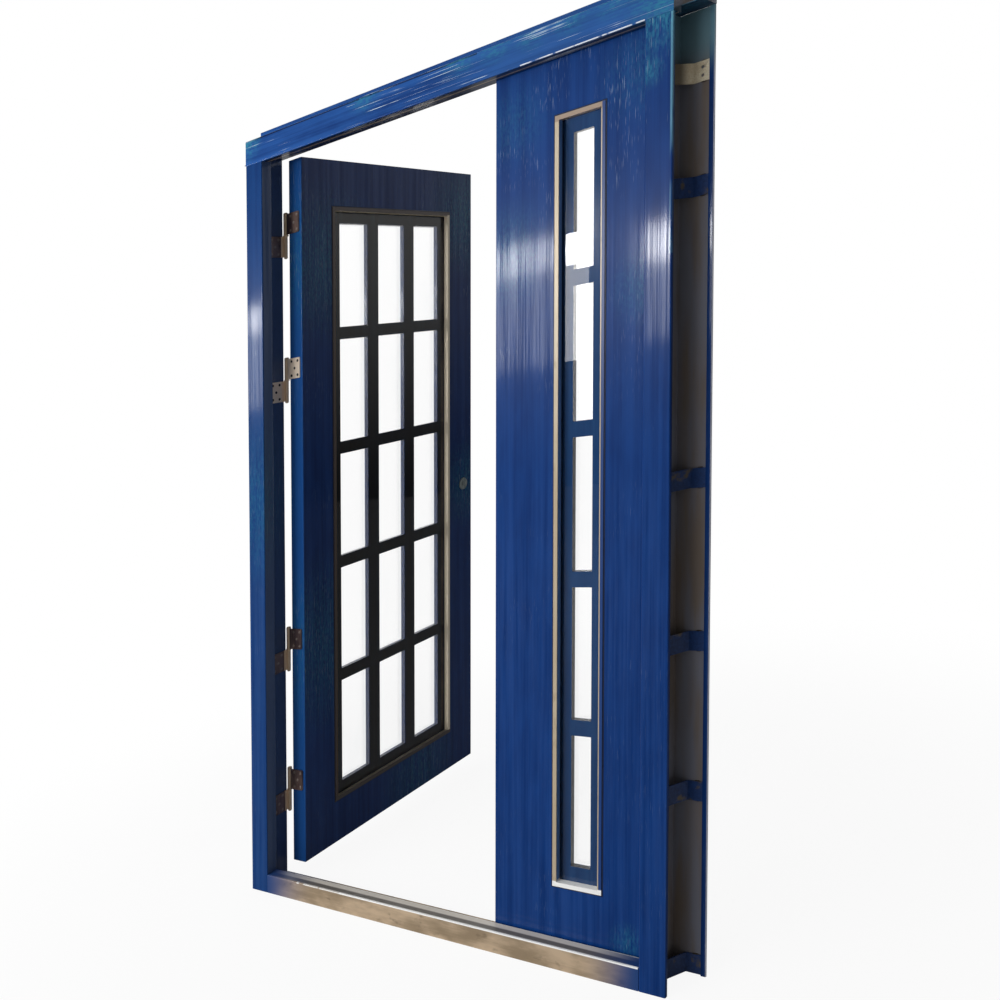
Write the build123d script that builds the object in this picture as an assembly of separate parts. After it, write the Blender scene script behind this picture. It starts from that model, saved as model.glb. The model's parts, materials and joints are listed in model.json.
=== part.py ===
from build123d import *
import os

# Unequal pair of glazed steel entrance doors in a pressed-steel frame, in millimetres.
# The wide main leaf hangs on the left jamb and stands open. The narrow leaf hangs on the right jamb, closed.
# X runs along the doorway, Y from the street into the building and Z up. The origin is on the underside of
# the sill, in the middle of the doorway and of the frame's depth.

# Frame
FRAME_W = 1280.0
FRAME_H = 2100.0
FRAME_D = 100.0
JAMB_FACE = 63.0
HEAD_FACE = 68.0
SHEET = 2.0
BEND_R = 0.8
REBATE_STEP = 28.0
HEAD_STEP = 16.0
FRONT_LIP = 8.0
FLANGE_REACH = 47.0
HEM_W = 12.0
HEM_GAP = 2.0

# Sill
SILL_H = 50.0
SILL_WALL = 2.5
SILL_BASE_T = 6.0
SILL_EDGE_R = 2.0

# Leaves
LEAF_T = 50.0
LEAF_EDGE_R = 2.5
LEAF_SETBACK = 10.0
LEAF_BOTTOM = 42.0
HEAD_GAP = 6.0
NARROW_W = 424.0
STOP_GAP = 5.0
HINGE_GAP = 6.0
MEETING_GAP = 8.0
OPEN_ANGLE = 90.0

# Glazing, measured from the edges of a leaf
MAIN_STILE = 126.0
NARROW_HINGE_STILE = 143.0
NARROW_FREE_STILE = 170.0
BOTTOM_RAIL = 132.0
TOP_RAIL = 142.0
BEAD_FLANGE = 8.0
BEAD_T = 2.0
BEAD_DEPTH = 13.0
GLASS_T = 5.0
GLASS_EDGE_GAP = 0.5
BAR_W = 48.0
RUNG_H = 36.0
GRILLE_END = 35.0
MAIN_GRILLE_SIDE = 36.0
NARROW_GRILLE_SIDE = 30.0
MAIN_COLUMNS = 3
NARROW_COLUMNS = 1
ROWS = 5

# Flag hinges
KNUCKLE_R = 6.5
PIN_KNUCKLE_R = 5.2
KNUCKLE_OFFSET = 7.0
AXIS_BEHIND_FRAME = 4.0
PIN_R = 4.0
PIN_CLEARANCE = 0.08
PIN_REACH = 45.0
BORE_DEPTH = 50.0
HINGE_HALF = 65.0
WASHER_T = 3.0
WASHER_R = 8.0
WASHER_CLEARANCE = 0.3
PLATE_T = 3.0
PLATE_W = 42.0
PLATE_H = 58.0
PLATE_CORNER_R = 4.0
PLATE_HOLE_R = 2.6
PLATE_SINK_R = 4.6
HOLE_INSET = 9.0
HINGE_END = 206.0
HINGE_INNER = 614.0

# Anchor straps inside the jambs
STRAP_H = 42.0
STRAP_T = 3.0
STRAP_FOLD = 32.0
STRAP_FOOT = 12.0
STRAP_HEEL = 48.0
STRAPS_FROM_FLOOR = [23.0, 401.0, 725.0, 1073.0]
STRAPS_FROM_TOP = [415.0, 180.0]
STRAP_HOLE_R = 3.5
STRAP_HOLE_PITCH = 17.0

# Lock
LOCK_BACKSET = 46.0
LOCK_HEIGHT = 953.0
ROSE_R = 20.0
ROSE_T = 4.0
CORE_R = 8.5
CORE_T = 2.0
KEYWAY_W = 2.4
KEYWAY_H = 9.0

# Derived places
FRONT = -FRAME_D / 2
BACK = FRAME_D / 2
JAMB_OUT = FRAME_W / 2
JAMB_IN = JAMB_OUT - JAMB_FACE
REBATE_X = JAMB_IN + REBATE_STEP
LEAF_BACK = BACK - LEAF_SETBACK
LEAF_FRONT = LEAF_BACK - LEAF_T
STOP_Y = LEAF_FRONT - STOP_GAP
FLANGE_OUT = JAMB_OUT + FLANGE_REACH
HEAD_Z = FRAME_H - HEAD_FACE
HEAD_REBATE_Z = HEAD_Z + HEAD_STEP
HINGE_EDGE = REBATE_X - HINGE_GAP
PIVOT_X = REBATE_X - KNUCKLE_OFFSET
PIVOT_Y = BACK + AXIS_BEHIND_FRAME
NARROW_FREE = HINGE_EDGE - NARROW_W
MAIN_FREE = NARROW_FREE - MEETING_GAP
LEAF_TOP = HEAD_REBATE_Z - HEAD_GAP
WINDOW_Z0 = LEAF_BOTTOM + BOTTOM_RAIL
WINDOW_Z1 = LEAF_TOP - TOP_RAIL
LOW_HINGES = [LEAF_BOTTOM + HINGE_END, LEAF_BOTTOM + HINGE_INNER]
HINGE_Z = LOW_HINGES + [LEAF_TOP - HINGE_INNER, LEAF_TOP - HINGE_END]
STRAP_Z = STRAPS_FROM_FLOOR + [FRAME_H - drop for drop in STRAPS_FROM_TOP]


def block(x0, x1, y0, y1, z0, z1):
    """A box between two corners."""
    size = Box(x1 - x0, y1 - y0, z1 - z0)
    return Pos((x0 + x1) / 2, (y0 + y1) / 2, (z0 + z1) / 2) * size


def moved_right(points, distance):
    """A line of straight runs moved to its right-hand side, mitred at the corners."""
    spots = [Vector(*point) for point in points]
    runs = [(b - a).normalized() for a, b in zip(spots, spots[1:])]
    sides = [Vector(run.Y, -run.X) for run in runs]
    pairs = zip([sides[0]] + sides, sides + [sides[-1]])
    return [spot + (a + b) * (distance / (1 + a.dot(b))) for spot, (a, b) in zip(spots, pairs)]


def bent_sheet(points, thickness):
    """The cross-section of a folded sheet with rounded bends, its thickness on the line's right-hand side."""
    middle = FilletPolyline(*moved_right(points, thickness / 2), radius=BEND_R + thickness / 2)
    return trace(middle, thickness)


def front_fold(inner, outer, rebate):
    """Points of the lip, the face, the stop and its step, from the outer edge inwards."""
    step = inner + rebate
    return [(outer, FRONT + FRONT_LIP), (outer, FRONT), (inner, FRONT), (inner, STOP_Y), (step, STOP_Y)]


def rear_fold(inner, outer, rebate):
    """Points of the rebate side, the wall flange and its hem, from the bend at the stop's step outwards."""
    step = inner + rebate
    rim = outer + FLANGE_REACH
    hem_y = BACK - 2 * SHEET - HEM_GAP
    return [(step, STOP_Y + BEND_R), (step, BACK), (rim, BACK), (rim, hem_y), (rim - HEM_W, hem_y)]


def frame_section(inner, outer, rebate):
    """The whole folded section of a jamb or the head."""
    points = front_fold(inner, outer, rebate) + rear_fold(inner, outer, rebate)[1:]
    return bent_sheet(points, SHEET)


def mirror_x(shape):
    """The same piece on the other side of the doorway."""
    return mirror(shape, about=Plane.YZ)


def right_jamb():
    """Folded right jamb: its face ends under the head, its rebate side runs up to the head's rebate."""
    whole = frame_section(JAMB_IN, JAMB_OUT, REBATE_STEP)
    rear = bent_sheet(rear_fold(JAMB_IN, JAMB_OUT, REBATE_STEP), SHEET)
    return extrude(whole, HEAD_Z) + Pos(0, 0, HEAD_Z) * extrude(rear, HEAD_STEP)


def head():
    """Folded head over both jambs, with the wall flange carried out past them."""
    whole = frame_section(HEAD_Z, FRAME_H, HEAD_STEP)
    rear = bent_sheet(rear_fold(HEAD_Z, FRAME_H, HEAD_STEP), SHEET)
    lay = Plane(origin=(0, 0, 0), x_dir=(0, 0, 1), z_dir=(-1, 0, 0))
    return extrude(lay * whole, JAMB_OUT, both=True) + extrude(lay * rear, FLANGE_OUT, both=True)


def sill():
    """Bare steel sill: a hollow step between the stops, with a base plate under the leaves."""
    step = block(-JAMB_IN, JAMB_IN, FRONT, STOP_Y, 0, SILL_H)
    step = fillet(step.edges().filter_by(Axis.X).group_by(Axis.Z)[-1], SILL_EDGE_R)
    hollow = block(-JAMB_IN, JAMB_IN, FRONT + SILL_WALL, STOP_Y - SILL_WALL, SILL_WALL, SILL_H - SILL_WALL)
    base = block(-REBATE_X, REBATE_X, STOP_Y, BACK, 0, SILL_BASE_T)
    base = fillet(base.edges().filter_by(Axis.Z).group_by(Axis.Y)[0], 2 * BEND_R)
    return step - hollow + base


def strap_holes():
    """Two fixing holes through the heel of the top strap."""
    holes = Part()
    x = REBATE_X + SHEET + STRAP_FOLD + STRAP_HEEL / 2 - STRAP_HOLE_R
    for side in (-1, 1):
        z = STRAP_Z[-1] + side * STRAP_HOLE_PITCH / 2
        holes += Pos(x, BACK, z) * Rot(90, 0, 0) * Cylinder(STRAP_HOLE_R, 6 * SHEET)
    return holes


def right_strap(height):
    """Anchor strap: its heel lies on the wall flange, its leg slants to the rebate side's back."""
    web = REBATE_X + SHEET
    flange = BACK - SHEET
    fold = web + STRAP_FOLD
    foot = STOP_Y + SHEET
    heel = fold + STRAP_HEEL - HEM_W
    points = [(web, foot), (web, foot + STRAP_FOOT), (fold, flange), (heel, flange)]
    section = bent_sheet(points, STRAP_T)
    strap = Pos(0, 0, height - STRAP_H / 2) * extrude(section, STRAP_H)
    return strap - strap_holes()


def window(x0, x1, y0, y1, margin):
    """A box through the window of a leaf, grown by a margin all round."""
    return block(x0 - margin, x1 + margin, y0, y1, WINDOW_Z0 - margin, WINDOW_Z1 + margin)


def leaf_slab(x0, x1, w0, w1):
    """Flush leaf between two edges, with rounded upright folds and its window cut through."""
    slab = block(x0, x1, LEAF_FRONT, LEAF_BACK, LEAF_BOTTOM, LEAF_TOP)
    slab = fillet(slab.edges().filter_by(Axis.Z), LEAF_EDGE_R)
    return slab - window(w0, w1, LEAF_FRONT, LEAF_BACK, 0)


def bead(w0, w1, face_y, inward):
    """Glazing bead on one face: a flange over the leaf and a sleeve down to the glass."""
    ys = sorted((face_y, face_y - inward * BEAD_T))
    flange = window(w0, w1, ys[0], ys[1], BEAD_FLANGE)
    ys = sorted((face_y, face_y + inward * BEAD_DEPTH))
    sleeve = window(w0, w1, ys[0], ys[1], 0)
    ys = sorted((face_y - inward * BEAD_T, face_y + inward * BEAD_DEPTH))
    return flange + sleeve - window(w0, w1, ys[0], ys[1], -BEAD_T)


def glass(w0, w1, y0):
    """One sheet of glass in a window."""
    return window(w0, w1, y0, y0 + GLASS_T, -GLASS_EDGE_GAP)


def grille(w0, w1, side, columns):
    """Bars between the two sheets of glass: a border with panes cut through in rows and columns."""
    y0 = LEAF_FRONT + BEAD_DEPTH + GLASS_T
    y1 = LEAF_BACK - BEAD_DEPTH - GLASS_T
    frame = window(w0, w1, y0, y1, -GLASS_EDGE_GAP)
    pane_w = (w1 - w0 - 2 * side - (columns - 1) * BAR_W) / columns
    pane_h = (WINDOW_Z1 - WINDOW_Z0 - 2 * GRILLE_END - (ROWS - 1) * RUNG_H) / ROWS
    panes = Part()
    for column in range(columns):
        x = w0 + side + column * (pane_w + BAR_W)
        for row in range(ROWS):
            z = WINDOW_Z0 + GRILLE_END + row * (pane_h + RUNG_H)
            panes += block(x, x + pane_w, y0, y1, z, z + pane_h)
    return frame - panes


def hinge_plate(x0, z0, shown):
    """Hinge plate with rounded corners and five sunk screw holes, open to its shown side along X."""
    x1 = x0 + PLATE_T
    edge = LEAF_BACK - PLATE_W
    plate = block(x0, x1, edge, PIVOT_Y, z0, z0 + PLATE_H)
    plate = fillet(plate.edges().filter_by(Axis.X).group_by(Axis.Y)[0], PLATE_CORNER_R)
    near = edge + HOLE_INSET
    far = LEAF_BACK - HOLE_INSET
    low = z0 + HOLE_INSET
    high = z0 + PLATE_H - HOLE_INSET
    middle = ((near + far) / 2, (low + high) / 2)
    sink = Pos(0, 0, PLATE_T / 4) * Cone(PLATE_HOLE_R, PLATE_SINK_R, PLATE_T / 2)
    bore = Cylinder(PLATE_HOLE_R, 2 * PLATE_T) + sink
    for y, z in [(near, low), (near, high), (far, low), (far, high), middle]:
        plate -= Pos((x0 + x1) / 2, y, z) * Rot(0, 90 * shown, 0) * bore
    return plate


def jamb_hinge_half(z):
    """Lower half on the right jamb: plate, thinner knuckle, washer and the pin that stands up from it."""
    top = z - WASHER_T / 2
    low = z - HINGE_HALF
    plate = hinge_plate(REBATE_X - PLATE_T, top - PLATE_H, -1)
    length = top - low
    knuckle = Pos(PIVOT_X, PIVOT_Y, low + length / 2) * Cylinder(PIN_KNUCKLE_R, length)
    knuckle = fillet(knuckle.faces().sort_by(Axis.Z)[0].edges(), PIN_KNUCKLE_R * 0.8)
    washer = Pos(PIVOT_X, PIVOT_Y, z) * Cylinder(WASHER_R, WASHER_T)
    pin = Pos(PIVOT_X, PIVOT_Y, z + PIN_REACH / 2) * Cylinder(PIN_R, PIN_REACH)
    return plate + knuckle + washer + pin


def leaf_hinge_half(z):
    """Upper half on the right-hand leaf's edge: plate and knuckle, bored for the pin."""
    low = z + WASHER_T / 2 + WASHER_CLEARANCE
    top = z + HINGE_HALF
    plate = hinge_plate(HINGE_EDGE, low, 1)
    length = top - low
    knuckle = Pos(PIVOT_X, PIVOT_Y, low + length / 2) * Cylinder(KNUCKLE_R, length)
    knuckle = fillet(knuckle.faces().sort_by(Axis.Z)[-1].edges(), KNUCKLE_R * 0.6)
    bore = Pos(PIVOT_X, PIVOT_Y, low + BORE_DEPTH / 2) * Cylinder(PIN_R + PIN_CLEARANCE, BORE_DEPTH)
    return plate + knuckle - bore


def lock_cylinder():
    """Round rose with the cylinder's core and its keyway, on the main leaf's street face."""
    x = MAIN_FREE - LOCK_BACKSET
    z = LEAF_BOTTOM + LOCK_HEIGHT
    rose = Cylinder(ROSE_R, ROSE_T)
    rose = fillet(rose.faces().sort_by(Axis.Z)[-1].edges(), ROSE_T / 2)
    core = Pos(0, 0, ROSE_T / 2 + CORE_T / 2) * Cylinder(CORE_R, CORE_T)
    keyway = Pos(0, 0, ROSE_T / 2 + CORE_T) * Box(KEYWAY_W, KEYWAY_H, 2 * CORE_T)
    return Pos(x, LEAF_FRONT - ROSE_T / 2, z) * Rot(90, 0, 0) * (rose + core - keyway)


def swing_open(shape):
    """Turn a piece of the main leaf from closed to open, about its hinge pins."""
    pivot = Pos(-PIVOT_X, PIVOT_Y, 0)
    return pivot * Rot(0, 0, OPEN_ANGLE) * pivot.inverse() * shape


def leaf_pieces(prefix, x0, x1, w0, w1, side, columns):
    """Slab, beads, glass and grille of one leaf, as it stands closed."""
    rear_glass = LEAF_BACK - BEAD_DEPTH - GLASS_T
    return {
        f"{prefix}_leaf": leaf_slab(x0, x1, w0, w1),
        f"{prefix}_front_bead": bead(w0, w1, LEAF_FRONT, 1),
        f"{prefix}_rear_bead": bead(w0, w1, LEAF_BACK, -1),
        f"{prefix}_front_glass": glass(w0, w1, LEAF_FRONT + BEAD_DEPTH),
        f"{prefix}_rear_glass": glass(w0, w1, rear_glass),
        f"{prefix}_grille": grille(w0, w1, side, columns),
    }


frame_nodes = {"right_jamb": right_jamb(), "head": head(), "sill": sill()}
frame_nodes["left_jamb"] = mirror_x(frame_nodes["right_jamb"])
for number, height in enumerate(STRAP_Z, 1):
    strap = right_strap(height)
    frame_nodes[f"right_strap_{number}"] = strap
    frame_nodes[f"left_strap_{number}"] = mirror_x(strap)

main_window = (-HINGE_EDGE + MAIN_STILE, MAIN_FREE - MAIN_STILE)
narrow_window = (NARROW_FREE + NARROW_FREE_STILE, HINGE_EDGE - NARROW_HINGE_STILE)
main_nodes = leaf_pieces("main", -HINGE_EDGE, MAIN_FREE, *main_window, MAIN_GRILLE_SIDE, MAIN_COLUMNS)
main_nodes["lock_cylinder"] = lock_cylinder()
narrow_nodes = leaf_pieces(
    "narrow", NARROW_FREE, HINGE_EDGE, *narrow_window, NARROW_GRILLE_SIDE, NARROW_COLUMNS
)
for number, z in enumerate(HINGE_Z, 1):
    jamb_half = jamb_hinge_half(z)
    leaf_half = leaf_hinge_half(z)
    frame_nodes[f"right_jamb_hinge_{number}"] = jamb_half
    frame_nodes[f"left_jamb_hinge_{number}"] = mirror_x(jamb_half)
    narrow_nodes[f"narrow_leaf_hinge_{number}"] = leaf_half
    main_nodes[f"main_leaf_hinge_{number}"] = mirror_x(leaf_half)

nodes = dict(frame_nodes)
nodes.update(narrow_nodes)
for name, shape in main_nodes.items():
    nodes[name] = swing_open(shape)

os.makedirs("parts", exist_ok=True)
for name, shape in nodes.items():
    export_step(shape, f"parts/{name}.step")
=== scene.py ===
"""Dresses an unequal pair of glazed steel entrance doors in worn blue lacquer, bare steel and glass."""

import json
import logging
import math
from dataclasses import dataclass
from enum import Enum
from functools import reduce
from typing import Any, Dict, List, Mapping, Optional, Sequence, Tuple, Union

import bmesh
import bpy
import numpy as np
from mathutils import Matrix, Vector

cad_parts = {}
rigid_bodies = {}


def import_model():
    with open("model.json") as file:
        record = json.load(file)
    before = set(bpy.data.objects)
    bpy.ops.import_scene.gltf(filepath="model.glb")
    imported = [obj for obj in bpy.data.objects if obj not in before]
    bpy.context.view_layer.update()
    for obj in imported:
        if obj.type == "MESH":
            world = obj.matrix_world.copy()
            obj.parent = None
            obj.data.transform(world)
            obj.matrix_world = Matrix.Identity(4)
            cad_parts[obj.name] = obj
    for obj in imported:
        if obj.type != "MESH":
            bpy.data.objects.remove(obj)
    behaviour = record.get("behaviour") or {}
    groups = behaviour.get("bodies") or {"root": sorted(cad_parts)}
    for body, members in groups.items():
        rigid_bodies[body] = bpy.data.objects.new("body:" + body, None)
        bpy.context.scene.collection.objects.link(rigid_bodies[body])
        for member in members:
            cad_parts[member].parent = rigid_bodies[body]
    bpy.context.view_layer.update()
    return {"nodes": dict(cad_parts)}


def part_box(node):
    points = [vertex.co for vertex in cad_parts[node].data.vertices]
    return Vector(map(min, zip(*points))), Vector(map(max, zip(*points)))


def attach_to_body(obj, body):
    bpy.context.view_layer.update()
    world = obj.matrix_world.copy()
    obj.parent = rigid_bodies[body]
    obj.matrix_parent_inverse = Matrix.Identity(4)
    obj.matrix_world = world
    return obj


LOG = logging.getLogger("entrance_doors")
Colour = Tuple[float, float, float, float]
Point = Tuple[float, float, float]
Number = Union[float, "Value"]
Span = Tuple[float, float]
ANYWHERE: Span = (-9.0, 9.0)  # a zone's span along an axis that doesn't bound it
WHITE: Colour = (1.0, 1.0, 1.0, 1.0)
SAME_POINT = 1e-6  # metres within which two points of a mesh are one


def srgb(red: int, green: int, blue: int) -> Colour:
    """Turn a colour written as 0 to 255 screen values into a linear colour.

    Args:
        red: Screen red.
        green: Screen green.
        blue: Screen blue.

    Returns:
        The linear colour with full opacity.
    """
    share = np.array([red, green, blue], float) / 255.0
    linear = np.where(share <= 0.04045, share / 12.92, ((share + 0.055) / 1.055) ** 2.4)
    return float(linear[0]), float(linear[1]), float(linear[2]), 1.0


class Run(Enum):
    """A direction of the doorway: up it, across it or in through it."""

    UPRIGHT = "z"
    CROSSWISE = "x"
    INWARD = "y"

    def stretch(self, fine: float, long: float) -> Point:
        """Scale for a pattern that is fine across this direction and long along it."""
        return tuple(long if axis == self.value else fine for axis in "xyz")


class Value:
    """A shader socket that Python operators work on."""

    def __init__(self, graph: "Graph", socket: bpy.types.NodeSocket) -> None:
        """Wrap one output socket of a graph."""
        self.graph = graph
        self.socket = socket

    def __add__(self, other: Number) -> "Value":
        """Sum."""
        return self.graph.maths("ADD", self, other)

    def __radd__(self, other: Number) -> "Value":
        """Sum with a number on the left."""
        return self.graph.maths("ADD", other, self)

    def __sub__(self, other: Number) -> "Value":
        """Difference."""
        return self.graph.maths("SUBTRACT", self, other)

    def __rsub__(self, other: Number) -> "Value":
        """Difference from a number on the left."""
        return self.graph.maths("SUBTRACT", other, self)

    def __mul__(self, other: Number) -> "Value":
        """Product."""
        return self.graph.maths("MULTIPLY", self, other)

    def __rmul__(self, other: Number) -> "Value":
        """Product with a number on the left."""
        return self.graph.maths("MULTIPLY", other, self)

    def __gt__(self, other: Number) -> "Value":
        """One where this is greater, else zero."""
        return self.graph.maths("GREATER_THAN", self, other)

    def __lt__(self, other: Number) -> "Value":
        """One where this is less, else zero."""
        return self.graph.maths("LESS_THAN", self, other)

    def __or__(self, other: Number) -> "Value":
        """The larger of two masks."""
        return self.graph.maths("MAXIMUM", self, other)

    def __abs__(self) -> "Value":
        """Size without its sign."""
        return self.graph.maths("ABSOLUTE", self, 0.0)

    def between(self, low: float, high: float) -> "Value":
        """One where this lies between two numbers, else zero."""
        return (self > low) * (self < high)

    def ramp(self, low: float, high: float) -> "Value":
        """Zero below the first number, one above the second, smooth between; the numbers may fall."""
        return self.graph.node(
            "ShaderNodeMapRange",
            {"interpolation_type": "SMOOTHSTEP"},
            {"Value": self, "From Min": low, "From Max": high},
        )

    def other(self, name: str) -> "Value":
        """Another output of the same node."""
        return Value(self.graph, self.socket.node.outputs[name])


class Graph:
    """The nodes of one material or of the world, made from expressions."""

    def __init__(self, owner: Union[bpy.types.Material, bpy.types.World]) -> None:
        """Start with an empty tree.

        Args:
            owner: The material or world that the tree belongs to.
        """
        owner.use_nodes = True
        self.owner = owner
        self.tree = owner.node_tree
        self.tree.nodes.clear()

    def node(
        self,
        kind: str,
        settings: Optional[Mapping[str, Any]] = None,
        inputs: Optional[Mapping[Union[str, int], Any]] = None,
        output: Union[str, int, None] = 0,
    ) -> Optional[Value]:
        """Add one node.

        Args:
            kind: The node's type.
            settings: Its properties, set first.
            inputs: Numbers, colours or values for its sockets.
            output: The socket to hand back, None for a node without outputs.

        Returns:
            The chosen output, if any.
        """
        made = self.tree.nodes.new(kind)
        for key, setting in (settings or {}).items():
            setattr(made, key, setting)
        for key, given in (inputs or {}).items():
            if isinstance(given, Value):
                self.tree.links.new(given.socket, made.inputs[key])
            else:
                made.inputs[key].default_value = given
        return None if output is None else Value(self, made.outputs[output])

    def maths(self, operation: str, left: Number, right: Number) -> Value:
        """Add a Math node on two numbers or values."""
        return self.node("ShaderNodeMath", {"operation": operation}, {0: left, 1: right})

    def place(self) -> Value:
        """The point on the piece, in metres."""
        return self.node("ShaderNodeTexCoord", output="Object")

    def axes(self) -> Tuple[Value, Value, Value]:
        """The point's three coordinates."""
        x = self.node("ShaderNodeSeparateXYZ", inputs={0: self.place()}, output="X")
        return x, x.other("Y"), x.other("Z")

    def noise(
        self, scale: Union[float, Point], detail: float = 3.0, seed: Point = (0.0, 0.0, 0.0)
    ) -> Value:
        """Smooth noise from zero to one.

        Args:
            scale: Cycles per metre, one number or one for each axis.
            detail: Octaves of finer noise.
            seed: An offset, so that two noises differ.

        Returns:
            The noise.
        """
        spread = scale if isinstance(scale, tuple) else (scale, scale, scale)
        moved = self.node(
            "ShaderNodeMapping", inputs={"Vector": self.place(), "Location": seed, "Scale": spread}
        )
        return self.node("ShaderNodeTexNoise", inputs={"Vector": moved, "Scale": 1.0, "Detail": detail})

    def distance(self, spot: Point) -> Value:
        """The distance from a spot, in metres."""
        return self.node(
            "ShaderNodeVectorMath", {"operation": "DISTANCE"}, {0: self.place(), 1: spot}, "Value"
        )

    def near(self, spot: Point, reach: float) -> Value:
        """One at a spot, falling smoothly to zero at a distance."""
        return self.distance(spot).ramp(reach, 0.0)

    def blend(self, share: Number, below: Union[Colour, Value], above: Union[Colour, Value]) -> Value:
        """Mix two colours, the second by the share."""
        return self.node(
            "ShaderNodeMix", {"data_type": "RGBA", "clamp_factor": True}, {0: share, 6: below, 7: above}, 2
        )

    def bump(self, height: Value, strength: float, depth: float) -> Value:
        """A normal from a height from zero to one."""
        return self.node("ShaderNodeBump", inputs={"Height": height, "Strength": strength, "Distance": depth})

    def surface(self, inputs: Mapping[str, Any]) -> None:
        """Close the material with a principled surface."""
        self.close(self.node("ShaderNodeBsdfPrincipled", inputs=inputs))

    def close(self, shader: Value) -> None:
        """Send a shader to the output of the material or the world.

        Args:
            shader: The finished shader.
        """
        world = isinstance(self.owner, bpy.types.World)
        kind = "ShaderNodeOutputWorld" if world else "ShaderNodeOutputMaterial"
        self.node(kind, inputs={"Surface": shader}, output=None)


def new_graph(name: str) -> Graph:
    """An empty material of that name."""
    return Graph(bpy.data.materials.new(name))


@dataclass(frozen=True)
class Scuff:
    """A rubbed patch in the lacquer, strongest at its spot and gone at its reach."""

    spot: Point
    reach: float
    strength: float = 1.0


@dataclass(frozen=True)
class Zone:
    """A box with soft sides inside which a finish takes another colour."""

    colour: Colour
    soft: float
    x: Span = ANYWHERE
    y: Span = ANYWHERE
    z: Span = ANYWHERE
    share: float = 1.0
    broken: bool = False

    def mask(self, graph: Graph) -> Value:
        """Mark the box, broken up by noise if asked.

        Args:
            graph: The material's nodes.

        Returns:
            The share inside the box, falling to zero outside it.
        """
        spans = zip(graph.axes(), (self.x, self.y, self.z))
        ramps = [
            axis.ramp(span[0] - self.soft, span[0]) * axis.ramp(span[1] + self.soft, span[1])
            for axis, span in spans
            if span != ANYWHERE
        ]
        inside = reduce(Value.__mul__, ramps) * self.share
        if not self.broken:
            return inside
        return inside * graph.noise((46.0, 5.0, 5.0), 2.0, (0.0, 6.0, 2.0)).ramp(0.34, 0.46)


def painted(graph: Graph, colour: Value, zones: Sequence[Zone]) -> Value:
    """The colour with each zone's own colour laid over it, the last on top."""
    return reduce(lambda below, zone: graph.blend(zone.mask(graph), below, zone.colour), zones, colour)


@dataclass(frozen=True)
class FoldedCavity:
    """The unpainted inside of a folded frame member, as two boxes across and in depth.

    The channel behind the face and the lap along the wall flange each have a span across the member, from the
    doorway outwards, and a span in depth. A jamb has them crosswise and the head upright.
    """

    channel: Span
    lap: Span
    across: Run
    channel_depth: Span = (-0.0487, -0.0163)
    lap_depth: Span = (-0.0415, 0.0492)

    def mask(self, graph: Graph) -> Value:
        """Mark the inside of the fold.

        Args:
            graph: The material's nodes.

        Returns:
            One on the inside, zero on the painted outside.
        """
        x, y, z = graph.axes()
        reach = abs(x) if self.across is Run.CROSSWISE else z
        channel = reach.between(*self.channel) * y.between(*self.channel_depth)
        lap = reach.between(*self.lap) * y.between(*self.lap_depth)
        return channel | lap


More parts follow.
